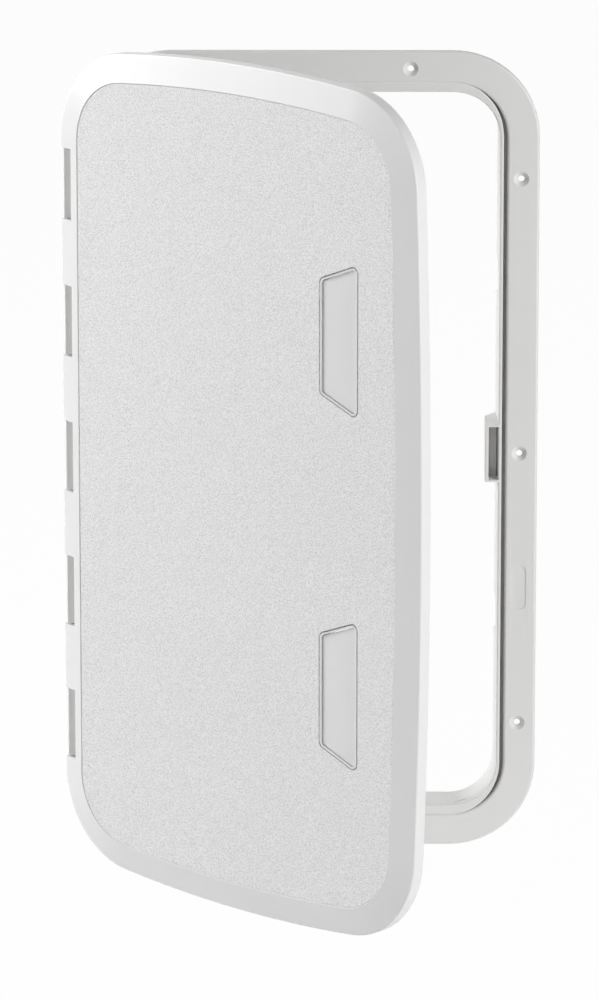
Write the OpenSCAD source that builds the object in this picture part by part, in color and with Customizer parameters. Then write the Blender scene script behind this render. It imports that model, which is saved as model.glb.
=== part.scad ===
// Service hatch: a moulded frame with a side-hung lid and two flush push-to-open latches.
// The frame stands upright in the XZ plane, its back on y = 0, and its front looks towards -Y.
// The origin lies on the back of the bottom flange. Everything is drawn lying flat around the
// middle of the frame, with its front up, and then stood upright.

/* [Frame] */
// Width of the frame over its flange
frame_w = 324; // [300:1:350]
// Height of the frame over its flange
frame_h = 584; // [540:1:600]
// Radius of the frame's outer corners
frame_corner_r = 62; // [50:1:75]
// Thickness of the flange
flange_t = 4; // [3:0.5:5]
// Width of the flange, from its outer edge to the drain channel
flange_band = 23; // [21:0.5:26]
// Radius of the flange's outer front edge
flange_edge_r = 2; // [0.5:0.25:2.5]
// Width of the drain channel
channel_w = 2.6; // [2:0.1:4]
// Depth of the drain channel below the front of the flange
channel_d = 10; // [8:0.5:14]
// Wall of the drain channel
channel_wall = 2; // [1.5:0.1:3]
// Thickness of the collar at its lip
lip_w = 1.6; // [1.2:0.1:2.4]
// Thickness of the collar at the crease in its inside
crease_w = 2.6; // [2:0.1:3]
// Depth of the crease behind the top of the lip
crease_d = 13; // [8:0.5:18]
// Thickness of the collar at its rear edge
collar_wall = 3.8; // [3:0.1:4.5]
// Depth of the collar behind the mounting face
collar_d = 41; // [32:1:50]
// Height of the collar's lip above the front of the flange
lip_proud = 1; // [0.5:0.25:2]
// Length of each latch notch along the collar's rear edge
catch_notch_l = 28; // [26:1:34]
// Depth of each latch notch
catch_notch_d = 20; // [12:0.5:22]
// How far each sloping end of a latch notch runs inwards
catch_notch_slope = 3.3; // [0:0.1:4]
// Length of the raised pad on the flange of the opening side
pad_l = 32.6; // [24:0.1:40]
// Width of the raised pad
pad_w = 11; // [8:0.1:13]
// Corner radius of the raised pad
pad_r = 4.8; // [3:0.1:5]
// Height of the raised pad
pad_rise = 0.3; // [0.2:0.05:0.6]
// Distance of the raised pad below the middle
pad_drop = 99; // [60:1:140]

/* [Screw holes] */
// Diameter of the screw holes
screw_hole_d = 4.6; // [3.5:0.1:5.5]
// Diameter of the countersink at the flange's front
countersink_d = 11; // [8:0.1:13]
// Depth of the straight hole behind the countersink
screw_land = 1.4; // [0.8:0.1:2]
// Distance of the holes from the flange's outer edge
screw_inset = 13; // [10:0.5:15]
// Height of the upper and lower side holes from the middle
side_hole_z = 200; // [150:1:215]
// Distance of the top and bottom holes from the middle
end_hole_x = 70; // [40:1:95]

/* [Lid] */
// How far the lid reaches beyond the frame on each long side
lid_over_side = 14.5; // [12:0.5:18]
// How far the lid reaches beyond the frame at its top and bottom, at the middle
lid_over_end = 11; // [9:0.5:16]
// Crown of the lid's top and bottom edges
end_crown = 12.9; // [6:0.1:16]
// Crown of the lid's free edge
free_crown = 9; // [4:0.1:12]
// Radius of the lid's corners
lid_corner_r = 67; // [55:1:75]
// Depth of the lid's side wall
lid_side = 9.5; // [8.5:0.1:10]
// Gap between the lid's side wall and the mounting surface when shut
lid_gap = 3; // [2:0.25:4]
// Thickness of the lid's side wall and bevelled rim
lid_wall = 3; // [2.5:0.1:3.5]
// Radius of the edge between side wall and bevel
rim_edge_r = 1.5; // [0.5:0.1:2.5]
// Width of the bevelled rim
rim_w = 20.7; // [18:0.1:24]
// Rise of the bevelled rim from its outer to its inner edge
rim_rise = 4.3; // [3:0.1:6]
// Step from the rim down to the grained panel
panel_step = 0.5; // [0.3:0.1:0.8]
// Thickness of the grained panel
panel_t = 2.5; // [2:0.1:3]
// Width of the ledge that carries the panel
ledge_w = 4; // [3:0.5:6]
// Thickness of the ledge
ledge_t = 2; // [1.5:0.1:2.5]
// Angle at which the lid stands open
open_angle = 44; // [0:1:90]

/* [Hinge] */
// Distance of the hinge axis from the lid's hinge edge
axis_inset = 4; // [3.8:0.1:4.5]
// Height of the hinge axis above the mounting face
axis_z = 8.5; // [8:0.1:9]
// Diameter of the hinge pin
pin_d = 3; // [2.5:0.1:3.2]
// Running clearance around the pin in the lid's barrels
pin_clear = 0.2; // [0.15:0.05:0.3]
// Outer radius of the frame's knuckles
knuckle_r = 4.2; // [3.6:0.1:4.2]
// Length of each knuckle
knuckle_l = 49.5; // [40:0.5:52]
// Number of knuckles, fixed by the node names
knuckle_n = 5; // [5:1:5]
// Gap at each end of a knuckle
knuckle_gap = 1; // [0.6:0.1:1.5]
// Reach of the lid's notches from the hinge axis
notch_reach = 7.8; // [5:0.1:9]
// Outer radius of the lid's barrels
barrel_r = 3.7; // [3:0.1:3.8]
// Length of the two end barrels
end_barrel_l = 6; // [4:0.5:7]
// Distance of the hinge's ends from where the lid's corners begin
hinge_margin = 1; // [0.5:0.1:4]

/* [Latches] */
// Height of each latch from the middle of the lid
latch_z = 125; // [110:1:135]
// Distance of the latch's long side from the inside of the collar
latch_offset = 13.4; // [12.5:0.1:18]
// Width of the latch opening
latch_w = 35.2; // [30:0.1:38]
// Length of the latch's long side
latch_long = 106; // [96:0.5:112]
// Slant of the latch's two ends
latch_slant = 20.6; // [12:0.1:24]
// Corner radius of the latch
latch_corner_r = 4; // [3:0.5:6]
// Gap between the latch housing and the panel
latch_gap = 0.7; // [0.3:0.1:0.8]
// Wall of the latch housing
housing_wall = 1.2; // [1.2:0.1:2]
// Depth of the latch housing
housing_d = 13; // [12:0.5:14]
// Width of the housing's clip flange behind the panel
clip_w = 3; // [2:0.5:4]
// Thickness of the clip flange
clip_t = 1.6; // [1.2:0.1:2]
// Depth of the paddle's face below the panel
paddle_recess = 1.2; // [1:0.1:2.5]
// Thickness of the paddle
paddle_t = 2; // [1.6:0.1:2.2]
// Gap around the paddle
paddle_gap = 0.5; // [0.5:0.1:1]
// Diameter of the paddle's pivot pin
pivot_d = 2; // [1.5:0.1:2.4]
// Outer radius of the paddle's pivot barrel
pivot_barrel_r = 2; // [1.8:0.1:2.2]
// Distance of the pivot from the housing's inboard wall
pivot_inset = 3.2; // [3:0.1:4]
// How far the pivot barrel sinks into the paddle's back
pivot_sink = 0.6; // [0.4:0.1:0.8]
// Width of the tongue
tongue_w = 22; // [16:1:24]
// Thickness of the tongue's arm
tongue_t = 4; // [3:0.5:5]
// Distance of the tongue's arm from the paddle's long edge
tongue_setback = 3; // [2:0.5:5]
// Distance of the tongue's bend behind the housing
tongue_bend = 4; // [2:0.5:6]
// Height of the tongue's nose
nose_h = 5; // [4:0.5:7]
// Width of the nose's catching face
nose_w = 3; // [2:0.1:4]
// Gap between the nose and the floor of the latch notch
nose_sink = 1.5; // [1:0.1:3]
// Gap between the nose and the collar
nose_gap = 3.4; // [3:0.1:4.5]

/* [Seal and ribs] */
// Width of the seal
seal_w = 5; // [4:0.5:6]
// Gap left between the seal and the collar's lip when shut
seal_gap = 0.3; // [0.2:0.1:0.6]
// Thickness of the ribs that hold the seal
seal_rib_t = 1.5; // [1.2:0.1:2]
// Height of the ribs that hold the seal
seal_rib_h = 4; // [3:0.5:5]
// Height of the stiffening ribs on the lid's back
rib_h = 6; // [4:0.5:8]
// Thickness of the stiffening ribs
rib_t = 2; // [1.6:0.1:2.5]
// Distance of the stiffening ribs' ends from the inside of the collar
rib_margin = 6; // [4.5:0.5:12]
// Distance of the first upright rib from the ends of the level ribs
rib_first = 48; // [30:1:60]
// Spacing of the upright ribs
rib_pitch = 66; // [40:1:80]
// Height of the upper and lower level ribs from the middle
rib_row_z = 200; // [190:1:230]

/* [Centre keeper] */
// Height of the keeper
keeper_h = 42; // [38:1:52]
// How far the keeper stands into the opening
keeper_reach = 8.2; // [7.6:0.1:9]
// Thickness of the keeper's long wall and floor
keeper_wall = 2.6; // [2:0.1:3]
// Thickness of the keeper's top and bottom walls
keeper_end_wall = 1.6; // [1.2:0.1:2]
// Depth of the keeper at its free end, from where its back slopes to the collar's rear edge
keeper_end_d = 31; // [20:1:34]
// Distance of the keeper's front behind the top of the lip
keeper_front = 1; // [1:0.5:6]
// Thickness of the lid's centre tab
tab_t = 2.4; // [2:0.1:2.8]
// Width of the centre tab
tab_w = 34; // [24:1:36]
// Depth that the centre tab enters the keeper
tab_entry = 10; // [6:0.5:14]

/* [Hidden] */
$fn = 96;
white = "white";
pale_grey = "gainsboro";
over = 1;
touch = 0.01;
// Steps along the lid's long edges, corners and short edges, and around its rounded edge
side_steps = 16;
corner_steps = 10;
end_steps = 12;
edge_steps = 4;
// Direction in which the arms leave the knuckles
arm_angle = 60;

// The flat back of the flange ends at the drain channel's wall
flange_back = flange_band - channel_wall;
// Size of the lid at its middle
lid_w = frame_w + 2 * lid_over_side;
lid_h = frame_h + 2 * lid_over_end;
// Height of the frame's middle above the origin
lift = frame_h / 2 - flange_back / 2;

// Heights in the flat drawing: 0 is the mounting face, up is the side that people see
lip_top = flange_t + lip_proud;
edge_z = lid_gap + lid_side;
rim_top = edge_z + rim_rise;
panel_face = rim_top - panel_step;
panel_back = panel_face - panel_t;

// Plan positions in the flat drawing, with the middle of the frame at 0
axis_x = -lid_w / 2 + axis_inset;
opening_w = frame_w - 2 * (flange_band + channel_w + collar_wall);
opening_h = frame_h - 2 * (flange_band + channel_w + collar_wall);
collar_in = opening_w / 2;
crease_z = lip_top - crease_d;
// Middle of the collar's lip, from the flange's outer edge
lip_inset = flange_band + channel_w + lip_w / 2;
latch_out_x = collar_in - latch_offset;
latch_in_x = latch_out_x - latch_w;
pivot_x = latch_in_x + housing_wall + pivot_inset;
pivot_z = panel_face - paddle_recess - paddle_t - pivot_barrel_r + pivot_sink;
// Length of the latch opening at the pivot, between the outsides of the housing's slanted walls
pivot_span = latch_long - 2 * (latch_out_x - pivot_x) * tan(latch_slant);
// The pin ends inside those walls, and the paddle's barrel ends short of them
pivot_l = pivot_span - housing_wall / cos(latch_slant);
pivot_barrel_l = pivot_span - 2 * (housing_wall / cos(latch_slant)
    + (pivot_barrel_r + paddle_gap) * tan(latch_slant) + paddle_gap);

// The lid's crowned outline is made of large arcs that run smoothly into the corner arcs
lid_a = lid_w / 2;
lid_b = lid_h / 2;
end_r = (lid_a * lid_a + end_crown * end_crown) / (2 * end_crown);
free_r = (lid_b * lid_b + free_crown * free_crown) / (2 * free_crown);
end_c = [0, lid_b - end_r];
free_c = [lid_a - free_r, 0];
// Middle of the corner arc beside the hinge
hinge_k = [-lid_a + lid_corner_r,
    end_c[1] + sqrt(pow(end_r - lid_corner_r, 2) - pow(lid_a - lid_corner_r, 2))];
// Length of the hinge over its end barrels, and the spacing of the knuckles on it
hinge_l = 2 * (hinge_k[1] - hinge_margin);
notch_l = knuckle_l + 2 * knuckle_gap;
knuckle_pitch = (hinge_l - notch_l - 2 * end_barrel_l) / (knuckle_n - 1);
// Middle of the corner arc at the free edge, where two inner circles cross
free_k = circles_cross(end_c, end_r - lid_corner_r, free_c, free_r - lid_corner_r);
free_angle = atan2(free_k[1] - free_c[1], free_k[0] - free_c[0]);
end_angle = atan2(free_k[1] - end_c[1], free_k[0] - end_c[0]);
hinge_angle = atan2(hinge_k[1] - end_c[1], hinge_k[0] - end_c[0]);
bevel_angle = atan2(rim_rise, rim_w);

function circles_cross(a, ra, b, rb) =
    let (d = b - a,
        l = norm(d),
        t = (ra * ra - rb * rb + l * l) / (2 * l),
        h = sqrt(ra * ra - t * t))
    a + d * t / l + [d[1], -d[0]] * h / l;

// Stands a flat piece up: its top looks towards -Y
module stand_up() {
    translate([0, 0, lift]) rotate([90, 0, 0]) children();
}

// Stands a piece of the lid up and swings it open about the hinge axis
module on_lid() {
    translate([axis_x, -axis_z, 0])
        rotate([0, 0, -open_angle])
            translate([-axis_x, axis_z, 0])
                stand_up() children();
}

// A rectangle with round corners
module round_rect(w, h, r) {
    square([w - 2 * r, h], center = true);
    square([w, h - 2 * r], center = true);
    for (x = [-1, 1], y = [-1, 1])
        translate([x * (w / 2 - r), y * (h / 2 - r)]) circle(r);
}

// Carries a profile around a rectangle with round corners. The profile's x runs inwards from
// the outline and its y is the height.
module around_rect(w, h, r) {
    for (side = [0, 1]) rotate([0, 0, side * 180]) {
        translate([w / 2, h / 2 - r, 0])
            rotate([90, 0, 0])
                linear_extrude(h - 2 * r) mirror([1, 0]) children();
        translate([w / 2 - r, h / 2 - r, 0])
            rotate_extrude(angle = 90) translate([r, 0]) mirror([1, 0]) children();
        translate([-w / 2 + r, h / 2, 0])
            rotate([90, 0, 90])
                linear_extrude(w - 2 * r) mirror([1, 0]) children();
        translate([-w / 2 + r, h / 2 - r, 0])
            rotate([0, 0, 90])
                rotate_extrude(angle = 90) translate([r, 0]) mirror([1, 0]) children();
    }
}

// The lid's outline as a list of stations, each with its arc's centre, radius and direction
function stations(centre, radius, from, to, count) =
    [for (i = [0:count - 1]) [centre, radius, from + (to - from) * i / count]];
function flipped(centre) = [centre[0], -centre[1]];
lid_stations = concat(
    stations(free_c, free_r, -free_angle, free_angle, side_steps),
    stations(free_k, lid_corner_r, free_angle, end_angle, corner_steps),
    stations(end_c, end_r, end_angle, hinge_angle, end_steps),
    stations(hinge_k, lid_corner_r, hinge_angle, 180, corner_steps),
    [[hinge_k, lid_corner_r, 180]],
    stations(flipped(hinge_k), lid_corner_r, 180, 360 - hinge_angle, corner_steps),
    stations(flipped(end_c), end_r, 360 - hinge_angle, 360 - end_angle, end_steps),
    stations(flipped(free_k), lid_corner_r, 360 - end_angle, 360 - free_angle, corner_steps));

// A point of the outline at a station, drawn in by an inset
function outline_point(station, inset) =
    station[0] + (station[1] - inset) * [cos(station[2]), sin(station[2])];

// The lid's outline drawn in by an inset, as a flat shape
module lid_shape(inset) {
    polygon([for (station = lid_stations) outline_point(station, inset)]);
}

// Carries a closed profile of [inset, height] points around the lid's outline
module around_lid(profile) {
    m = len(profile);
    n = len(lid_stations);
    polyhedron(
        [for (station = lid_stations) for (p = profile)
            let (q = outline_point(station, p[0])) [q[0], q[1], p[1]]],
        [for (i = [0:n - 1]) for (j = [0:m - 1])
            let (k = (i + 1) % n, l = (j + 1) % m) [i * m + j, i * m + l, k * m + l, k * m + j]]);
}

// Section through flange, drain channel and collar
module frame_section() {
    lip_r = lip_w / 2;
    collar_x = flange_band + channel_w;
    channel_floor = flange_t - channel_d;
    difference() {
        square([flange_band, flange_t]);
        difference() {
            translate([-over, flange_t - flange_edge_r]) square([flange_edge_r + over, flange_edge_r + over]);
            translate([flange_edge_r, flange_t - flange_edge_r]) circle(flange_edge_r);
        }
        difference() {
            translate([flange_band - flange_edge_r, flange_t - flange_edge_r])
                square([flange_edge_r + over, flange_edge_r + over]);
            translate([flange_band - flange_edge_r, flange_t - flange_edge_r]) circle(flange_edge_r);
        }
    }
    translate([flange_band - channel_wall, channel_floor - channel_wall])
        square([channel_wall, channel_d - flange_edge_r + channel_wall]);
    translate([flange_band - channel_wall, channel_floor - channel_wall])
        square([channel_wall + channel_w + lip_w, channel_wall]);
    translate([collar_x, 0])
        polygon([[0, -collar_d], [collar_wall, -collar_d], [crease_w, crease_z],
            [lip_w, lip_top - lip_r], [0, lip_top - lip_r]]);
    translate([collar_x + lip_r, lip_top - lip_r]) circle(lip_r);
}

// A countersunk screw hole, seen from the front
module screw_hole() {
    translate([0, 0, -over]) cylinder(d = screw_hole_d, h = flange_t + 2 * over);
    translate([0, 0, screw_land])
        cylinder(d1 = screw_hole_d, d2 = countersink_d, h = flange_t - screw_land);
    translate([0, 0, flange_t - touch]) cylinder(d = countersink_d, h = over);
}

// A latch notch in the collar's rear edge, with sloping ends
module catch_notch() {
    rear = catch_notch_l / 2;
    inner = rear - catch_notch_slope;
    translate([collar_in - over, 0, 0]) rotate([90, 0, 90])
        linear_extrude(collar_wall + 2 * over)
            polygon([[-rear, -collar_d - over], [-rear, -collar_d], [-inner, catch_notch_d - collar_d],
                [inner, catch_notch_d - collar_d], [rear, -collar_d], [rear, -collar_d - over]]);
}

// The moulded frame: flange, drain channel and collar in one piece
module frame() {
    side_x = frame_w / 2 - screw_inset;
    end_z = frame_h / 2 - screw_inset;
    color(pale_grey) stand_up() {
        difference() {
            around_rect(frame_w, frame_h, frame_corner_r) frame_section();
            for (x = [-side_x, side_x], y = [-side_hole_z, 0, side_hole_z])
                translate([x, y, 0]) screw_hole();
            for (x = [-end_hole_x, end_hole_x], y = [-end_z, end_z])
                translate([x, y, 0]) screw_hole();
            for (y = [-latch_z, latch_z])
                translate([0, y, 0]) catch_notch();
        }
        translate([side_x, -pad_drop, flange_t / 2]) linear_extrude(flange_t / 2 + pad_rise)
            round_rect(pad_w, pad_l, pad_r);
    }
}

// One hinge knuckle of the frame, with the arm that joins it to the flange
module frame_knuckle(index) {
    centre = (index - (knuckle_n + 1) / 2) * knuckle_pitch;
    arm_edge = knuckle_r * [cos(arm_angle), sin(arm_angle)];
    color(pale_grey) stand_up()
        translate([0, -centre + knuckle_l / 2, 0]) rotate([90, 0, 0]) linear_extrude(knuckle_l)
            difference() {
                union() {
                    translate([axis_x, axis_z]) circle(knuckle_r);
                    polygon([[-frame_w / 2, 0], [-frame_w / 2, flange_t - flange_edge_r],
                        [axis_x, axis_z] + arm_edge, [axis_x, axis_z] - arm_edge]);
                }
                translate([axis_x, axis_z]) circle(d = pin_d);
            }
}

// The long hinge pin
module hinge_pin() {
    color("silver") stand_up() translate([axis_x, hinge_l / 2, axis_z]) rotate([90, 0, 0])
        cylinder(d = pin_d, h = hinge_l);
}

// The pocket on the collar's free side that takes the lid's centre tab
module centre_keeper() {
    front = lip_top - keeper_front;
    crease_x = keeper_reach + collar_wall - crease_w;
    front_x = crease_x + (crease_w - lip_w) * (front - crease_z) / (lip_top - lip_w / 2 - crease_z);
    floor_z = front - keeper_end_d + keeper_wall;
    color(pale_grey) stand_up() translate([collar_in - keeper_reach, keeper_h / 2, 0])
        rotate([90, 0, 0]) difference() {
            linear_extrude(keeper_h) polygon([[0, front], [front_x, front], [crease_x, crease_z],
                [keeper_reach, -collar_d], [0, front - keeper_end_d]]);
            translate([0, 0, keeper_end_wall]) linear_extrude(keeper_h - 2 * keeper_end_wall)
                polygon([[keeper_wall, front + over], [front_x + over, front + over],
                    [front_x + over, floor_z], [keeper_wall, floor_z]]);
        }
}

// Height of the bevelled rim's back at a distance from the lid's edge
function bevel_back(inset) = edge_z - lid_wall + inset * rim_rise / rim_w;

// Section through the lid's side wall, bevelled rim and panel ledge
function rim_profile() =
    let (edge_c = [rim_edge_r, edge_z + rim_edge_r * (rim_rise / rim_w - 1 / cos(bevel_angle))],
        ledge_z = panel_back - ledge_t,
        ledge_x = (ledge_z - edge_z + lid_wall) * rim_w / rim_rise)
    concat(
        [for (i = [0:edge_steps]) let (a = 180 - i * (90 - bevel_angle) / edge_steps)
            edge_c + rim_edge_r * [cos(a), sin(a)]],
        [[rim_w, rim_top], [rim_w, panel_back], [rim_w + ledge_w, panel_back],
            [rim_w + ledge_w, ledge_z], [ledge_x, ledge_z],
            [lid_wall, bevel_back(lid_wall)], [lid_wall, lid_gap], [0, lid_gap]]);

// The lid's bevelled rim and side wall, notched where the knuckles pass
module lid_rim() {
    color(white) on_lid() difference() {
        around_lid(rim_profile());
        for (i = [1:knuckle_n])
            translate([-lid_a - over, (i - (knuckle_n + 1) / 2) * knuckle_pitch - notch_l / 2, 0])
                cube([axis_inset + notch_reach + over, notch_l, rim_top + over]);
        translate([axis_x, hinge_l / 2, axis_z]) rotate([90, 0, 0])
            cylinder(d = pin_d + 2 * pin_clear, h = hinge_l);
    }
}

// A latch outline with round corners, drawn out by a margin. Its long side looks to +X.
module latch_shape(margin) {
    r = latch_corner_r + margin;
    x_in = latch_in_x + latch_corner_r;
    x_out = latch_out_x - latch_corner_r;
    side = latch_corner_r * (1 / cos(latch_slant) + tan(latch_slant));
    y_out = latch_long / 2 - side;
    y_in = latch_long / 2 - latch_w * tan(latch_slant)
        - latch_corner_r * (1 / cos(latch_slant) - tan(latch_slant));
    tilt = [-sin(latch_slant), cos(latch_slant)];
    polygon([[x_in - r, -y_in], [x_in, -y_in] + r * [tilt[0], -tilt[1]],
        [x_out, -y_out] + r * [tilt[0], -tilt[1]], [x_out, -y_out], [x_out + r, -y_out],
        [x_out + r, y_out], [x_out, y_out], [x_out, y_out] + r * tilt,
        [x_in, y_in] + r * tilt, [x_in - r, y_in]]);
    for (s = [-1, 1]) {
        translate([x_in, s * y_in]) circle(r);
        translate([x_out, s * y_out]) circle(r);
    }
}

// The grained panel, with its two latch openings
module lid_panel() {
    color(white) on_lid() translate([0, 0, panel_back]) linear_extrude(panel_t) difference() {
        lid_shape(rim_w);
        for (s = [-1, 1])
            translate([0, s * latch_z]) latch_shape(latch_gap);
    }
}

// One barrel of the lid, between two knuckles or beyond the last one, under the bevelled rim
module lid_barrel(index) {
    outer = index == 1 || index == knuckle_n + 1;
    length = outer ? end_barrel_l : knuckle_pitch - notch_l;
    first = (index - 1 - knuckle_n / 2) * knuckle_pitch;
    middle = index == 1 ? first + (knuckle_pitch - notch_l - length) / 2
        : index == knuckle_n + 1 ? first - (knuckle_pitch - notch_l - length) / 2 : first;
    web_x = -lid_a + lid_wall;
    far_x = axis_x + barrel_r;
    color(white) on_lid()
        translate([0, middle + length / 2, 0]) rotate([90, 0, 0]) linear_extrude(length)
            difference() {
                intersection() {
                    union() {
                        translate([axis_x, axis_z]) circle(barrel_r);
                        translate([web_x, axis_z]) square([far_x - web_x, barrel_r]);
                    }
                    polygon([[web_x, 0], [far_x, 0], [far_x, bevel_back(far_x + lid_a)],
                        [web_x, bevel_back(lid_wall)]]);
                }
                translate([axis_x, axis_z]) circle(d = pin_d + 2 * pin_clear);
            }
}

// Stiffening ribs on the lid's back, inside the seal
module lid_ribs() {
    left = rib_margin - collar_in;
    reach_y = opening_h / 2 - rib_margin;
    color(white) on_lid() translate([0, 0, panel_back - rib_h]) linear_extrude(rib_h) {
        for (x = [left + rib_first, left + rib_first + rib_pitch])
            translate([x - rib_t / 2, -reach_y]) square([rib_t, 2 * reach_y]);
        for (y = [-rib_row_z, 0, rib_row_z])
            translate([left, y - rib_t / 2]) square([latch_in_x - clip_w - rib_margin - left, rib_t]);
    }
}

// One of the two ribs that hold the seal, at an inset of the frame's outline. The inner one is
// parted by the centre tab.
module seal_rib(inset) {
    color(white) on_lid() translate([0, 0, panel_back - seal_rib_h]) linear_extrude(seal_rib_h)
        difference() {
            frame_shape(inset);
            frame_shape(inset + seal_rib_t);
            if (inset > lip_inset)
                translate([0, -tab_w / 2]) square([collar_in, tab_w]);
        }
}

// The frame's outline drawn in by an inset
module frame_shape(inset) {
    round_rect(frame_w - 2 * inset, frame_h - 2 * inset, frame_corner_r - inset);
}

// The rubber seal that meets the collar's lip
module lid_seal() {
    bottom = lip_top + seal_gap;
    r = seal_w / 2;
    color("dimgray") on_lid()
        around_rect(frame_w - 2 * (lip_inset - r), frame_h - 2 * (lip_inset - r),
            frame_corner_r - lip_inset + r) {
            translate([0, bottom + r]) square([seal_w, panel_back - bottom - r]);
            translate([r, bottom + r]) circle(r);
        }
}

// The lid's centre tab, which enters the keeper
module centre_tab() {
    pocket_mid = collar_in - (keeper_reach - keeper_wall) / 2;
    top = panel_back;
    bottom = lip_top - keeper_front - tab_entry;
    color(white) on_lid() translate([pocket_mid - tab_t / 2, -tab_w / 2, bottom])
        cube([tab_t, tab_w, top - bottom]);
}

// The pivot line of a latch, as a cylinder of a given diameter and length
module pivot_bar(d, length) {
    translate([pivot_x, length / 2, pivot_z]) rotate([90, 0, 0]) cylinder(d = d, h = length);
}

// The latch housing: a thin rim flush with the panel, a well and a clip flange behind the panel
module latch_housing(side) {
    color(white) on_lid() translate([0, side * latch_z, 0]) difference() {
        union() {
            translate([0, 0, panel_face - housing_d]) linear_extrude(housing_d) latch_shape(0);
            translate([0, 0, panel_back - clip_t]) linear_extrude(clip_t) latch_shape(clip_w);
        }
        translate([0, 0, panel_face - housing_d - over]) linear_extrude(housing_d + 2 * over)
            latch_shape(-housing_wall);
        pivot_bar(pivot_d, pivot_l);
    }
}

// The pin that the paddle turns on, seated in the housing's two slanted walls
module latch_pin(side) {
    color("silver") on_lid() translate([0, side * latch_z, 0]) pivot_bar(pivot_d, pivot_l);
}

// The sprung paddle, pressed in at its long side
module latch_paddle(side) {
    face = panel_face - paddle_recess;
    color(white) on_lid() translate([0, side * latch_z, 0]) difference() {
        union() {
            translate([0, 0, face - paddle_t]) linear_extrude(paddle_t)
                latch_shape(-housing_wall - paddle_gap);
            pivot_bar(2 * pivot_barrel_r, pivot_barrel_l);
        }
        pivot_bar(pivot_d + 2 * pin_clear, pivot_barrel_l + 2 * over);
    }
}

// The tongue behind the paddle, whose nose lies behind the collar's notch
module latch_tongue(side) {
    top = panel_face - paddle_recess - paddle_t;
    arm_x = latch_out_x - housing_wall - paddle_gap - tongue_setback - tongue_t;
    bend = panel_face - housing_d - tongue_bend;
    nose_x = collar_in - nose_gap;
    nose_top = catch_notch_d - collar_d - nose_sink;
    nose_low = nose_top - nose_h;
    color(white) on_lid() translate([0, side * latch_z + tongue_w / 2, 0]) rotate([90, 0, 0])
        linear_extrude(tongue_w)
            polygon([[arm_x, top], [arm_x, bend], [nose_x - nose_w - tongue_t, nose_low],
                [nose_x - nose_w / 2, nose_low], [nose_x, nose_top], [nose_x - nose_w, nose_top],
                [arm_x + tongue_t, bend], [arm_x + tongue_t, top]]);
}

frame();
frame_knuckle(1);  // frame_knuckle_1
frame_knuckle(2);  // frame_knuckle_2
frame_knuckle(3);  // frame_knuckle_3
frame_knuckle(4);  // frame_knuckle_4
frame_knuckle(5);  // frame_knuckle_5
hinge_pin();
centre_keeper();
lid_rim();
lid_panel();
lid_barrel(1);  // lid_barrel_1
lid_barrel(2);  // lid_barrel_2
lid_barrel(3);  // lid_barrel_3
lid_barrel(4);  // lid_barrel_4
lid_barrel(5);  // lid_barrel_5
lid_barrel(6);  // lid_barrel_6
lid_ribs();
seal_rib(lip_inset - seal_w / 2 - seal_rib_t);  // outer_seal_rib
seal_rib(lip_inset + seal_w / 2);  // inner_seal_rib
lid_seal();
centre_tab();
latch_housing(1);  // upper_latch_housing
latch_housing(-1);  // lower_latch_housing
latch_pin(1);  // upper_latch_pin
latch_pin(-1);  // lower_latch_pin
latch_paddle(1);  // upper_latch_paddle
latch_paddle(-1);  // lower_latch_paddle
latch_tongue(1);  // upper_latch_tongue
latch_tongue(-1);  // lower_latch_tongue
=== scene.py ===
import math

import bmesh
import bpy
from mathutils import Euler, Matrix, Vector


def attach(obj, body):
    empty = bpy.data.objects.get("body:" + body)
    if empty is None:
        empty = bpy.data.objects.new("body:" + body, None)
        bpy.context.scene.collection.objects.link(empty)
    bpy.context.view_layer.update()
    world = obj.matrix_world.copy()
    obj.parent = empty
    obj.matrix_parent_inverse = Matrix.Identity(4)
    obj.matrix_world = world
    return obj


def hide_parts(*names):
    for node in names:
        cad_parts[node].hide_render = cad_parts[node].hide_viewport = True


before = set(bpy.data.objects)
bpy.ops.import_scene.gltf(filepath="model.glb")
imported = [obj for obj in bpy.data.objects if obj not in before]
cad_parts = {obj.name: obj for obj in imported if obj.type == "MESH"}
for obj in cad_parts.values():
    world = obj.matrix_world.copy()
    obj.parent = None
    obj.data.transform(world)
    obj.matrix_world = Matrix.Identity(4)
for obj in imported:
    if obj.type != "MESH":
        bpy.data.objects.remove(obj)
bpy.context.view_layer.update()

# Places. Pieces are drawn flat, in millimetres: x runs to the latch side, y up and z out to
# the viewer, with 0 at the middle of the frame's back. Then they are stood up.

MM_PER_M = 1000
MIDDLE = Vector((0, 0, 0.2815))
HINGE = Vector((-0.1725, -0.0085, 0))
OPEN_ANGLE = math.radians(44)
ON_FRAME = (Matrix.Translation(MIDDLE) @ Matrix.Rotation(math.radians(90), 4, "X")
            @ Matrix.Scale(1 / MM_PER_M, 4))
ON_LID = (Matrix.Translation(HINGE) @ Matrix.Rotation(-OPEN_ANGLE, 4, "Z")
          @ Matrix.Translation(-HINGE) @ ON_FRAME)

# Sizes of the lid, in millimetres. The rim's edge radii follow its section from the outer edge
# over the bevel to the panel's ledge and back along the inside; 0 keeps a corner sharp.

LID_W, LID_H = 353, 606
END_CROWN, FREE_CROWN = 12.9, 9
CORNER_R = 67
LID_GAP = 3
EDGE_Z = 12.5
RIM_W, RIM_RISE = 20.7, 4.3
RIM_TOP = EDGE_Z + RIM_RISE
RIM_RADII = [1.5, 0.45, 0, 0.5, 0.5, 1, 1, 0.6, 0.6]
LID_WALL = 3
PANEL_FACE, PANEL_BACK = 16.3, 13.8
PANEL_GAP = 0.15
PANEL_EASE = 0.3
LEDGE_W, LEDGE_T = 4, 2

# Sizes of the frame. The lip and the wall behind it have their own sizes at the sides and at
# the ends. The pad of the opening side is sunk to a shallow recess. The floor of the keeper's
# pocket is given behind the frame's back, as the solid has it and as it is made here.

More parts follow.
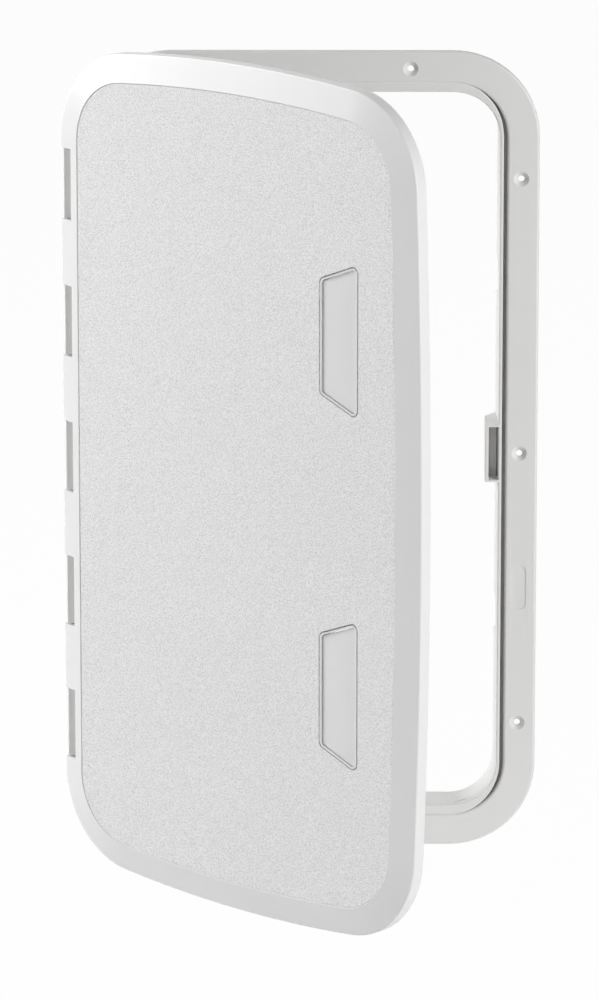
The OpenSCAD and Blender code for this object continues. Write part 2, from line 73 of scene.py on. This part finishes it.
FRAME_W, FRAME_H, FRAME_R = 324, 584, 62
COLLAR_INSET, LIP_W = 25.6, 1.6
LIP_ZONE_Z, LIP_DROP = -7, 2
SIDE_LIP_IN, END_LIP_IN, END_LIP_OUT = 0.8, 2.4, 3.2
CREASE_Z, CREASE_REACH = -8, 0.5
END_WALL_OUT, END_CREASE_OUT, END_CREASE_RISE = 2.2, 1, 7
PAD_ZONE_Z, PAD_FLOOR = 4.2, 3.5
KEEPER_DEPTH, KEEPER_SHALLOW = 24.4, 11

# Sizes of the hinge and the latches

KNUCKLES, KNUCKLE_PITCH = 5, 99.03
KNUCKLE_FRONT, KNUCKLE_SLOPE, KNUCKLE_BORE = 4, 0.36, 3
NOTCH_L, NOTCH_INSET = 51.5, 13
HINGE_STRIP, END_FACING = RIM_W + 6, 0.5
LATCH_Z = 125
LATCH_OUT, LATCH_IN = 119.2, 84
LATCH_LONG, LATCH_SLANT, LATCH_R = 106, math.radians(20.6), 4
LATCH_GAP = 0.95

# Fineness: the steps of an arc, distances in millimetres that count as none, and angles that
# count as flat or as an edge. Points of a CAD node are merged at a distance in metres.

FEWEST_STEPS, STEP_DENSITY = 3, 3
PROFILE_STEPS = 3
MERGE, CUT_MERGE, NEAR, FLOOR_NEAR = 0.005, 1e-4, 0.01, 0.1
CAD_MERGE = 2e-6
FLAT_ANGLE, PANEL_FLAT_ANGLE = math.radians(1), 0.01
EASED_ANGLE, SHARP_ANGLE, BORDER_ANGLE = math.radians(30), math.radians(35), 1

# Finishes: colour, roughness, and the fine grain's size and depth

FINISHES = {
    "frame_plastic": ((0.785, 0.782, 0.77), 0.42, 1400, 0.000012),
    "rim_plastic": ((0.82, 0.82, 0.82), 0.3, 1800, 0.000006),
    "panel_plastic": ((0.9, 0.9, 0.9), 0.5, 2600, 0.000015),
    "latch_plastic": ((0.81, 0.81, 0.81), 0.34, 1800, 0.000006),
    "seal_rubber": ((0.05, 0.05, 0.05), 0.7, 2200, 0.00008),
    "pin_steel": ((0.6, 0.6, 0.6), 0.32, 2400, 0.000006),
}
# Shares of the colour for the cloud's darker tone, for scuffed wear, and for painted shade in the
# valleys of the panel's pebble grain. Then the roughness spread of the cloud, and the grain heights
# over which that painted shade fades in.
SHADE, SCUFFED, PAINTED_VALLEY_SHADE = 0.98, 0.97, 0.7
SMOOTHER, ROUGHER = 0.04, 0.05
VALLEY_SHADE_START, VALLEY_SHADE_STOP = 0.34, 0.54

# The studio: the camera's place is given from the frame's middle, and each lamp by its place,
# its size in metres and its power in watts

CAMERA_LENS, CAMERA_REACH = 222.51, 30
CAMERA_PLACE = Vector((0.02246, -4.3325, 0.98108))
CAMERA_DIP, CAMERA_TURN = 0.23042, 0.00729
LAMPS = {
    "left_softbox": ((-3.6, 0.75, 2.1), (2.4, 3.4), 196),
    "rear_softbox": ((-1.84, 2.19, 0.78), (1.6, 2.4), 10),
    "right_softbox": ((1.89, -2.03, 0.95), (1.2, 2.2), 59),
}
AMBIENT = 0.04
WHITE = (1, 1, 1, 1)
PAPER, PAPER_ROUGHNESS = (0.85, 0.85, 0.85, 1), 0.9
FLOOR_HALF, FLOOR_BACK, FLOOR_Z = 6, 3, -0.33
FLOOR_GLOW = 0.97


# Outlines: each is a list of arcs (centre, radius, from, to), run anticlockwise

def angle_of(vector):
    return math.atan2(vector.y, vector.x)


def circles_cross(a, ra, b, rb):
    d = b - a
    t = (ra * ra - rb * rb + d.length_squared) / (2 * d.length)
    h = math.sqrt(ra * ra - t * t)
    return a + d * (t / d.length) + Vector((d.y, -d.x)) * (h / d.length)


def lid_outline():
    half_w, half_h = LID_W / 2, LID_H / 2
    end_r = (half_w ** 2 + END_CROWN ** 2) / (2 * END_CROWN)
    free_r = (half_h ** 2 + FREE_CROWN ** 2) / (2 * FREE_CROWN)
    end_c = Vector((0, half_h - end_r))
    free_c = Vector((half_w - free_r, 0))
    hinge_x = CORNER_R - half_w
    hinge_k = Vector((hinge_x, end_c.y + math.sqrt((end_r - CORNER_R) ** 2 - hinge_x ** 2)))
    free_k = circles_cross(end_c, end_r - CORNER_R, free_c, free_r - CORNER_R)
    a = angle_of(free_k - free_c)
    b = angle_of(free_k - end_c)
    c = angle_of(hinge_k - end_c)
    upper = [(free_k, CORNER_R, a, b), (end_c, end_r, b, c), (hinge_k, CORNER_R, c, math.pi)]
    lower = [(Vector((k.x, -k.y)), r, 2 * math.pi - t1, 2 * math.pi - t0)
             for k, r, t0, t1 in reversed(upper)]
    return [(free_c, free_r, 0, a)] + upper + lower + [(free_c, free_r, -a, 0)]


def latch_outline(middle):
    x_in, x_out = LATCH_IN + LATCH_R, LATCH_OUT - LATCH_R
    slope, lean = math.tan(LATCH_SLANT), 1 / math.cos(LATCH_SLANT)
    y_out = LATCH_LONG / 2 - LATCH_R * (lean + slope)
    y_in = LATCH_LONG / 2 - (LATCH_OUT - LATCH_IN) * slope - LATCH_R * (lean - slope)
    turn = math.pi / 2 + LATCH_SLANT
    corners = [(x_out, y_out, 0, turn), (x_in, y_in, turn, math.pi),
               (x_in, -y_in, math.pi, 2 * math.pi - turn),
               (x_out, -y_out, 2 * math.pi - turn, 2 * math.pi)]
    return [(Vector((x, middle + y)), LATCH_R, t0, t1) for x, y, t0, t1 in corners]


# Mesh tools

def ray(angle):
    return Vector((math.cos(angle), math.sin(angle)))


def steps_for(radius, turn):
    return max(FEWEST_STEPS, math.ceil(abs(turn) * math.sqrt(radius) * STEP_DENSITY))


def verts_of(parts):
    return [part for part in parts if isinstance(part, bmesh.types.BMVert)]


def sweep(bm, profile, outline):
    """Carries a closed profile of (inset, height) points around an outline."""
    centre, radius, start, _ = outline[0]
    verts = []
    for inset, height in profile:
        verts.append(bm.verts.new((centre + ray(start) * (radius - inset)).to_3d()
                                  + Vector((0, 0, height))))
    edges = [bm.edges.new((a, b)) for a, b in zip(verts, verts[1:] + verts[:1])]
    ring = verts + edges
    first = here = centre + ray(start) * radius
    for centre, radius, start, end in outline:
        ring = run(bm, ring, centre + ray(start) * radius - here)
        ring = bmesh.ops.spin(bm, geom=ring, cent=centre.to_3d(), axis=(0, 0, 1),
                              angle=end - start, steps=steps_for(radius, end - start),
                              use_merge=False, use_duplicate=False)["geom_last"]
        here = centre + ray(end) * radius
    run(bm, ring, first - here)
    bmesh.ops.remove_doubles(bm, verts=bm.verts[:], dist=MERGE)


def run(bm, ring, step):
    """Extrudes a ring straight by a step, and returns the new ring."""
    if step.length < NEAR:
        return ring
    edges = [part for part in ring if isinstance(part, bmesh.types.BMEdge)]
    new = bmesh.ops.extrude_edge_only(bm, edges=edges)["geom"]
    bmesh.ops.translate(bm, vec=step.to_3d(), verts=verts_of(new))
    return [part for part in new if not isinstance(part, bmesh.types.BMFace)]


def rounded(corner, before, after, radius):
    """Points that round a corner of a profile between its two neighbours."""
    corner, before, after = Vector(corner), Vector(before), Vector(after)
    a, b = (before - corner).normalized(), (after - corner).normalized()
    half = a.angle(b) / 2
    centre = corner + (a + b).normalized() * (radius / math.sin(half))
    p, q = corner + a * (radius / math.tan(half)), corner + b * (radius / math.tan(half))
    return [tuple(centre + (p - centre).slerp(q - centre, i / PROFILE_STEPS) * radius)
            for i in range(PROFILE_STEPS + 1)]


def eased_profile(points, radii):
    """A profile with each corner rounded by its radius, or kept sharp where that is 0."""
    out = []
    for i, (point, radius) in enumerate(zip(points, radii)):
        if radius:
            out += rounded(point, points[i - 1], points[(i + 1) % len(points)], radius)
        else:
            out.append(tuple(point))
    return out


def outline_loop(bm, outline, inset, height):
    """The outline drawn in by an inset, as a closed loop of edges."""
    points = []
    for centre, radius, start, end in outline:
        steps = steps_for(radius, end - start)
        for i in range(steps + 1):
            point = centre + ray(start + (end - start) * i / steps) * (radius - inset)
            if not points or (point - points[-1]).length > MERGE:
                points.append(point)
    if (points[0] - points[-1]).length < MERGE:
        points.pop()
    verts = [bm.verts.new((p.x, p.y, height)) for p in points]
    return [bm.edges.new((a, b)) for a, b in zip(verts, verts[1:] + verts[:1])]


def make_piece(bm, name, place, body, node, slot):
    """Stands a drawn mesh up, hangs it on its body and hides the CAD node it stands in for."""
    bmesh.ops.transform(bm, matrix=place, verts=bm.verts[:])
    bmesh.ops.recalc_face_normals(bm, faces=bm.faces[:])
    mesh = bpy.data.meshes.new(name)
    bm.to_mesh(mesh)
    bm.free()
    mesh.shade_smooth()
    mesh.set_sharp_from_angle(angle=SHARP_ANGLE)
    piece = bpy.data.objects.new(name, mesh)
    bpy.context.collection.objects.link(piece)
    mesh.materials.append(finishes[slot])
    even = piece.modifiers.new("even_shading", "WEIGHTED_NORMAL")
    even.keep_sharp = True
    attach(piece, body)
    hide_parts(node)


def merged_copy(node):
    """The mesh of a CAD node, with its loose triangles joined."""
    bm = bmesh.new()
    bm.from_mesh(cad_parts[node].data)
    bmesh.ops.remove_doubles(bm, verts=bm.verts[:], dist=CAD_MERGE)
    return bm


def eased_copy(node, name, body, slot, width, segments=2, adjust=None):
    """A CAD node's shape with its edges rounded, after its points have been adjusted."""
    bm = merged_copy(node)
    if adjust:
        adjust(bm)
    bmesh.ops.dissolve_limit(bm, angle_limit=FLAT_ANGLE, verts=bm.verts[:], edges=bm.edges[:])
    edges = [e for e in bm.edges if e.is_manifold and e.calc_face_angle() > EASED_ANGLE]
    bmesh.ops.bevel(bm, geom=edges, offset=width / MM_PER_M, segments=segments, profile=0.5,
                    affect="EDGES", material=-1, clamp_overlap=True)
    make_piece(bm, name, Matrix.Identity(4), body, node, slot)


# The frame

def frame_place(point):
    """The way outwards from a point of the frame, and its distance in from the edge."""
    out = Vector((max(abs(point.x) - FRAME_W / 2 + FRAME_R, 0),
                  max(abs(point.y) - FRAME_H / 2 + FRAME_R, 0)))
    inset = FRAME_R - out.length
    out.normalize()
    return Vector((math.copysign(out.x, point.x), math.copysign(out.y, point.y))), inset


def shape_flange(point):
    """Moves a point of the flange: only the pad's face is sunk."""
    return Vector((point.x, point.y, PAD_FLOOR)) if point.z > PAD_ZONE_Z else point


def shape_collar(point):
    """Moves a point of the collar: the lip widens to the ends and closes the channel there."""
    out, inset = frame_place(point)
    end = out.y ** 2
    across = inset - COLLAR_INSET
    if across < -NEAR:
        return shape_flange(point)
    step, rise = 0, 0
    if point.z > LIP_ZONE_Z:
        if across < LIP_W / 2 - NEAR:
            step = -END_LIP_OUT * end
        elif across > LIP_W / 2 + NEAR:
            step = SIDE_LIP_IN + (END_LIP_IN - SIDE_LIP_IN) * end
        rise = -LIP_DROP if point.z > 0 else 0
    elif across > LIP_W:
        crease = abs(point.z - CREASE_Z) < CREASE_REACH
        step = -(END_CREASE_OUT if crease else END_WALL_OUT) * end
        rise = END_CREASE_RISE * end if crease else 0
    return point - (out * step).to_3d() + Vector((0, 0, rise))


def add_frame():
    bm = merged_copy("frame")
    bmesh.ops.transform(bm, matrix=ON_FRAME.inverted(), verts=bm.verts[:])
    for vert in bm.verts:
        vert.co = shape_collar(vert.co)
    make_piece(bm, "moulded_frame", ON_FRAME, "frame_body", "frame", "frame_plastic")


def raise_floor(bm):
    """Makes the keeper's pocket shallower than the solid's, which lightens its inside."""
    for vert in bm.verts:
        if abs(vert.co.y * MM_PER_M - KEEPER_DEPTH) < FLOOR_NEAR:
            vert.co.y = KEEPER_SHALLOW / MM_PER_M


def square_front(bm):
    """Gives a hinge knuckle the sloping flat front that shows in its notch."""
    for vert in bm.verts:
        across = (vert.co.x - HINGE.x) * MM_PER_M
        front = (HINGE.y - vert.co.y) * MM_PER_M
        face = KNUCKLE_FRONT + across * KNUCKLE_SLOPE
        outside = front > 0 and math.hypot(across, front) > KNUCKLE_BORE
        if outside and (across > 0 or front > face):
            vert.co.y = HINGE.y - face / MM_PER_M


# The lid

def bevel_back(inset):
    return EDGE_Z - LID_WALL + inset * RIM_RISE / RIM_W


def add_rim():
    ledge_z = PANEL_BACK - LEDGE_T
    ledge_x = (ledge_z - EDGE_Z + LID_WALL) * RIM_W / RIM_RISE
    points = [(0, EDGE_Z), (RIM_W, RIM_TOP), (RIM_W, PANEL_BACK), (RIM_W + LEDGE_W, PANEL_BACK),
              (RIM_W + LEDGE_W, ledge_z), (ledge_x, ledge_z), (LID_WALL, bevel_back(LID_WALL)),
              (LID_WALL, LID_GAP), (0, LID_GAP)]
    bm = bmesh.new()
    sweep(bm, eased_profile(points, RIM_RADII), lid_outline())
    cut_notches(bm)
    make_piece(bm, "moulded_rim", ON_LID, "lid", "lid_rim", "rim_plastic")


def cut_notches(bm):
    """Opens the rim where the knuckles pass."""
    bm.normal_update()
    inner = NOTCH_INSET - LID_W / 2
    spans = []
    for i in range(KNUCKLES):
        middle = (i - (KNUCKLES - 1) / 2) * KNUCKLE_PITCH
        spans.append((middle - NOTCH_L / 2, middle + NOTCH_L / 2))
    for y in [end for span in spans for end in span]:
        slice_hinge_side(bm, (0, y, 0), (0, 1, 0))
    slice_hinge_side(bm, (inner, 0, 0), (1, 0, 0))
    gone = [f for f in bm.faces if f.calc_center_median().x < inner
            and any(low < f.calc_center_median().y < high for low, high in spans)]
    bmesh.ops.delete(bm, geom=gone, context="FACES")
    for low, high in spans:
        rims = [e for e in bm.edges if e.is_boundary and abs(e.verts[0].co.x - inner) < NEAR
                and abs(e.verts[1].co.x - inner) < NEAR
                and low < (e.verts[0].co.y + e.verts[1].co.y) / 2 < high]
        bmesh.ops.contextual_create(bm, geom=rims)
    bmesh.ops.holes_fill(bm, edges=[e for e in bm.edges if e.is_boundary], sides=0)


def on_hinge_side(face):
    return (face.calc_center_median().x < HINGE_STRIP - LID_W / 2
            and abs(face.normal.y) < END_FACING)


def slice_hinge_side(bm, point, normal):
    faces = [f for f in bm.faces if on_hinge_side(f)]
    edges = {e for f in faces for e in f.edges}
    verts = {v for f in faces for v in f.verts}
    bmesh.ops.bisect_plane(bm, geom=faces + list(edges) + list(verts), dist=CUT_MERGE,
                           plane_co=point, plane_no=normal)


def add_panel():
    bm = bmesh.new()
    border = outline_loop(bm, lid_outline(), RIM_W + PANEL_GAP, PANEL_BACK)
    for middle in (-LATCH_Z, LATCH_Z):
        border += outline_loop(bm, latch_outline(middle), -LATCH_GAP, PANEL_BACK)
    bmesh.ops.triangle_fill(bm, use_beauty=True, edges=border)
    bmesh.ops.dissolve_limit(bm, angle_limit=PANEL_FLAT_ANGLE, verts=bm.verts[:],
                             edges=bm.edges[:])
    up = bmesh.ops.extrude_face_region(bm, geom=bm.faces[:], use_keep_orig=True)["geom"]
    bmesh.ops.translate(bm, vec=(0, 0, PANEL_FACE - PANEL_BACK), verts=verts_of(up))
    bmesh.ops.recalc_face_normals(bm, faces=bm.faces[:])
    rims = [e for e in bm.edges if e.is_manifold and e.calc_face_angle() > BORDER_ANGLE
            and min(v.co.z for v in e.verts) > PANEL_FACE - NEAR]
    bmesh.ops.bevel(bm, geom=rims, offset=PANEL_EASE, segments=2, profile=0.5,
                    affect="EDGES", material=-1)
    make_piece(bm, "grained_panel", ON_LID, "lid", "lid_panel", "panel_plastic")


# Materials

def node_group(name, inputs, outputs):
    group = bpy.data.node_groups.new(name, "ShaderNodeTree")
    for kind, title, value in inputs:
        socket = group.interface.new_socket(title, in_out="INPUT",
                                            socket_type="NodeSocket" + kind)
        socket.default_value = value
    for kind, title in outputs:
        group.interface.new_socket(title, in_out="OUTPUT", socket_type="NodeSocket" + kind)
    return group, group.nodes.new("NodeGroupInput"), group.nodes.new("NodeGroupOutput")


def use_group(nodes, group, **values):
    node = nodes.new("ShaderNodeGroup")
    node.node_tree = group
    for title, value in values.items():
        node.inputs[title.replace("_", " ")].default_value = value
    return node


def noise(nodes, detail, roughness, scale=None):
    """A noise texture, whose scale may be left to a link."""
    node = nodes.new("ShaderNodeTexNoise")
    node.inputs["Detail"].default_value = detail
    node.inputs["Roughness"].default_value = roughness
    if scale:
        node.inputs["Scale"].default_value = scale
    return node


def ramp(nodes, links, value, low, high, start=0.2, stop=0.8):
    """Spreads a value that runs from start to stop over the span from low to high."""
    node = nodes.new("ShaderNodeMapRange")
    node.inputs["From Min"].default_value = start
    node.inputs["From Max"].default_value = stop
    node.inputs["To Min"].default_value = low
    node.inputs["To Max"].default_value = high
    links.new(value, node.inputs["Value"])
    return node.outputs["Result"]


def colour_mix(nodes, links, factor, a, b):
    """Mixes two colours by a mask. Each may be a colour or an output socket."""
    mix = nodes.new("ShaderNodeMix")
    mix.data_type = "RGBA"
    links.new(factor, mix.inputs["Factor"])
    colour_a, colour_b = [s for s in mix.inputs if s.type == "RGBA"]
    for value, socket in ((a, colour_a), (b, colour_b)):
        if isinstance(value, tuple):
            socket.default_value = value + (1,)
        else:
            links.new(value, socket)
    return next(s for s in mix.outputs if s.type == "RGBA")


def moulded_skin():
    """The skin of a moulded plastic: soft cloudiness, sparse scuffs and a fine grain."""
    group, entry, leave = node_group(
        "moulded_skin", [("Float", "Grain Size", 900.0), ("Float", "Grain Depth", 0.00002)],
        [("Float", "Cloud"), ("Float", "Scuffs"), ("Vector", "Normal")])
    nodes, links = group.nodes, group.links
    place = nodes.new("ShaderNodeTexCoord")
    stretch = nodes.new("ShaderNodeMapping")
    stretch.inputs["Rotation"].default_value = (0.3, 0.5, 0.9)
    stretch.inputs["Scale"].default_value = (1, 1, 0.12)
    cloud = noise(nodes, detail=2, roughness=0.4, scale=9)
    scuffs = noise(nodes, detail=3, roughness=0.6, scale=1500)
    grain = noise(nodes, detail=2, roughness=0.6)
    bump = nodes.new("ShaderNodeBump")
    links.new(place.outputs["Object"], stretch.inputs["Vector"])
    links.new(stretch.outputs["Vector"], scuffs.inputs["Vector"])
    links.new(place.outputs["Object"], cloud.inputs["Vector"])
    links.new(place.outputs["Object"], grain.inputs["Vector"])
    links.new(entry.outputs["Grain Size"], grain.inputs["Scale"])
    links.new(grain.outputs["Fac"], bump.inputs["Height"])
    links.new(entry.outputs["Grain Depth"], bump.inputs["Distance"])
    rare = ramp(nodes, links, scuffs.outputs["Fac"], 0, 1, start=0.66, stop=0.78)
    links.new(cloud.outputs["Fac"], leave.inputs["Cloud"])
    links.new(rare, leave.inputs["Scuffs"])
    links.new(bump.outputs["Normal"], leave.inputs["Normal"])
    return group


def pebble_grain():
    """The pebble grain of the panel: rounded grains of uneven size with fine valleys."""
    group, entry, leave = node_group(
        "pebble_grain", [("Float", "Pebble Size", 1100.0), ("Float", "Pebble Depth", 0.00035),
                         ("Vector", "Normal", (0, 0, 0))],
        [("Float", "Height"), ("Vector", "Normal")])
    nodes, links = group.nodes, group.links
    place = nodes.new("ShaderNodeTexCoord")
    cells = nodes.new("ShaderNodeTexVoronoi")
    cells.feature = "SMOOTH_F1"
    cells.inputs["Smoothness"].default_value = 0.6
    lumps = noise(nodes, detail=3, roughness=0.55)
    mix = nodes.new("ShaderNodeMix")
    mix.inputs["Factor"].default_value = 0.6
    bump = nodes.new("ShaderNodeBump")
    for node in (cells, lumps):
        links.new(place.outputs["Object"], node.inputs["Vector"])
        links.new(entry.outputs["Pebble Size"], node.inputs["Scale"])
    links.new(cells.outputs["Distance"], mix.inputs["A"])
    links.new(lumps.outputs["Fac"], mix.inputs["B"])
    links.new(mix.outputs["Result"], bump.inputs["Height"])
    links.new(entry.outputs["Pebble Depth"], bump.inputs["Distance"])
    links.new(entry.outputs["Normal"], bump.inputs["Normal"])
    links.new(mix.outputs["Result"], leave.inputs["Height"])
    links.new(bump.outputs["Normal"], leave.inputs["Normal"])
    return group


def scaled(colour, share):
    return tuple(c * share for c in colour)


def make_finish(name, colour, roughness, skin, grain_size, grain_depth, pebbles=None):
    material = bpy.data.materials.new(name)
    material.use_nodes = True
    nodes, links = material.node_tree.nodes, material.node_tree.links
    shader = nodes["Principled BSDF"]
    finish = use_group(nodes, skin, Grain_Size=grain_size, Grain_Depth=grain_depth)
    cloud, scuffs, normal = (finish.outputs[title] for title in ("Cloud", "Scuffs", "Normal"))
    tone = colour_mix(nodes, links, ramp(nodes, links, cloud, 0, 1), scaled(colour, SHADE), colour)
    tone = colour_mix(nodes, links, scuffs, tone, scaled(colour, SCUFFED))
    # On the panel, painted shade darkens the valleys of the pebble grain.
    if pebbles:
        grain = use_group(nodes, pebbles)
        links.new(normal, grain.inputs["Normal"])
        normal = grain.outputs["Normal"]
        valley_shade_mask = ramp(nodes, links, grain.outputs["Height"], 0, 1, VALLEY_SHADE_START, VALLEY_SHADE_STOP)
        tone = colour_mix(nodes, links, valley_shade_mask, scaled(colour, PAINTED_VALLEY_SHADE), tone)
    links.new(tone, shader.inputs["Base Color"])
    links.new(ramp(nodes, links, cloud, roughness - SMOOTHER, roughness + ROUGHER),
              shader.inputs["Roughness"])
    links.new(normal, shader.inputs["Normal"])
    return material


def make_finishes():
    skin, pebbles = moulded_skin(), pebble_grain()
    made = {}
    for slot, (colour, roughness, grain_size, grain_depth) in FINISHES.items():
        made[slot] = make_finish(slot, colour, roughness, skin, grain_size, grain_depth,
                                 pebbles if slot == "panel_plastic" else None)
    steel = made["pin_steel"].node_tree.nodes["Principled BSDF"]
    steel.inputs["Metallic"].default_value = 1
    return made


def dress(slot, *names):
    """Gives CAD nodes that stay as they are their finish."""
    for name in names:
        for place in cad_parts[name].material_slots:
            place.material = finishes[slot]


# Camera

def set_camera():
    camera = bpy.data.cameras.new("camera")
    camera.lens = CAMERA_LENS
    camera.clip_end = CAMERA_REACH
    holder = bpy.data.objects.new("camera", camera)
    holder.location = MIDDLE + CAMERA_PLACE
    holder.rotation_euler = Euler((math.pi / 2 - CAMERA_DIP, 0, CAMERA_TURN))
    bpy.context.collection.objects.link(holder)
    bpy.context.scene.camera = holder


# Light

def set_lights():
    for name, (place, size, power) in LAMPS.items():
        lamp = bpy.data.lights.new(name, "AREA")
        lamp.shape = "RECTANGLE"
        lamp.size, lamp.size_y = size
        lamp.energy = power
        holder = bpy.data.objects.new(name, lamp)
        holder.location = place
        holder.rotation_euler = (MIDDLE - Vector(place)).to_track_quat("-Z", "Y").to_euler()
        bpy.context.collection.objects.link(holder)


def seen_directly(nodes, links):
    """1 for what the camera, a reflection or clear plastic looks at, and 0 for diffuse light."""
    path = nodes.new("ShaderNodeLightPath")
    first, second = nodes.new("ShaderNodeMath"), nodes.new("ShaderNodeMath")
    first.operation = second.operation = "MAXIMUM"
    links.new(path.outputs["Is Camera Ray"], first.inputs[0])
    links.new(path.outputs["Is Glossy Ray"], first.inputs[1])
    links.new(first.outputs[0], second.inputs[0])
    links.new(path.outputs["Is Transmission Ray"], second.inputs[1])
    return second.outputs[0]


def set_world():
    """A white backdrop that lights the object only a little."""
    world = bpy.data.worlds.new("studio")
    bpy.context.scene.world = world
    world.use_nodes = True
    nodes, links = world.node_tree.nodes, world.node_tree.links
    nodes.clear()
    mix = nodes.new("ShaderNodeMixShader")
    output = nodes.new("ShaderNodeOutputWorld")
    links.new(seen_directly(nodes, links), mix.inputs["Fac"])
    for socket, level in ((1, AMBIENT), (2, 1)):
        shade = nodes.new("ShaderNodeBackground")
        shade.inputs["Color"].default_value = WHITE
        shade.inputs["Strength"].default_value = level
        links.new(shade.outputs[0], mix.inputs[socket])
    links.new(mix.outputs[0], output.inputs["Surface"])


def white_paper():
    """Paper that looks white and still takes the object's shadow."""
    paper = bpy.data.materials.new("white_paper")
    paper.use_nodes = True
    nodes, links = paper.node_tree.nodes, paper.node_tree.links
    surface = nodes["Principled BSDF"]
    surface.inputs["Base Color"].default_value = PAPER
    surface.inputs["Roughness"].default_value = PAPER_ROUGHNESS
    glow = nodes.new("ShaderNodeEmission")
    glow.inputs["Color"].default_value = WHITE
    share = nodes.new("ShaderNodeMath")
    share.operation = "MULTIPLY"
    share.inputs[1].default_value = FLOOR_GLOW
    mix = nodes.new("ShaderNodeMixShader")
    links.new(seen_directly(nodes, links), share.inputs[0])
    links.new(share.outputs[0], mix.inputs["Fac"])
    links.new(surface.outputs[0], mix.inputs[1])
    links.new(glow.outputs[0], mix.inputs[2])
    links.new(mix.outputs[0], nodes["Material Output"].inputs["Surface"])
    return paper


def add_floor():
    bm = bmesh.new()
    bmesh.ops.create_grid(bm, x_segments=1, y_segments=1, size=FLOOR_HALF)
    bmesh.ops.translate(bm, vec=(0, FLOOR_BACK, FLOOR_Z), verts=bm.verts[:])
    mesh = bpy.data.meshes.new("floor")
    bm.to_mesh(mesh)
    bm.free()
    floor = bpy.data.objects.new("floor", mesh)
    bpy.context.collection.objects.link(floor)
    mesh.materials.append(white_paper())


# The hatch

finishes = make_finishes()
dress("rim_plastic", *["lid_barrel_%d" % i for i in range(1, KNUCKLES + 2)])
dress("seal_rubber", "lid_seal")
dress("pin_steel", "hinge_pin", "upper_latch_pin", "lower_latch_pin")

add_frame()
add_rim()
add_panel()
for i in range(1, KNUCKLES + 1):
    eased_copy("frame_knuckle_%d" % i, "moulded_knuckle_%d" % i, "frame_body", "frame_plastic",
               width=0.4, adjust=square_front)
eased_copy("centre_keeper", "moulded_keeper", "frame_body", "frame_plastic", width=0.5,
           adjust=raise_floor)
for node, name in (("lid_ribs", "stiffening_ribs"), ("outer_seal_rib", "outer_rib"),
                   ("inner_seal_rib", "inner_rib"), ("centre_tab", "moulded_tab")):
    eased_copy(node, name, "lid", "rim_plastic", width=0.4)
for side in ("upper", "lower"):
    latch = side + "_latch"
    eased_copy(latch + "_housing", side + "_housing", "lid", "latch_plastic", width=0.5, segments=3)
    eased_copy(latch + "_paddle", side + "_paddle", latch, "latch_plastic", width=0.25)
    eased_copy(latch + "_tongue", side + "_tongue", latch, "latch_plastic", width=0.5)

# The studio

add_floor()
set_camera()
set_lights()
set_world()
bpy.context.scene.view_settings.view_transform = "Standard"
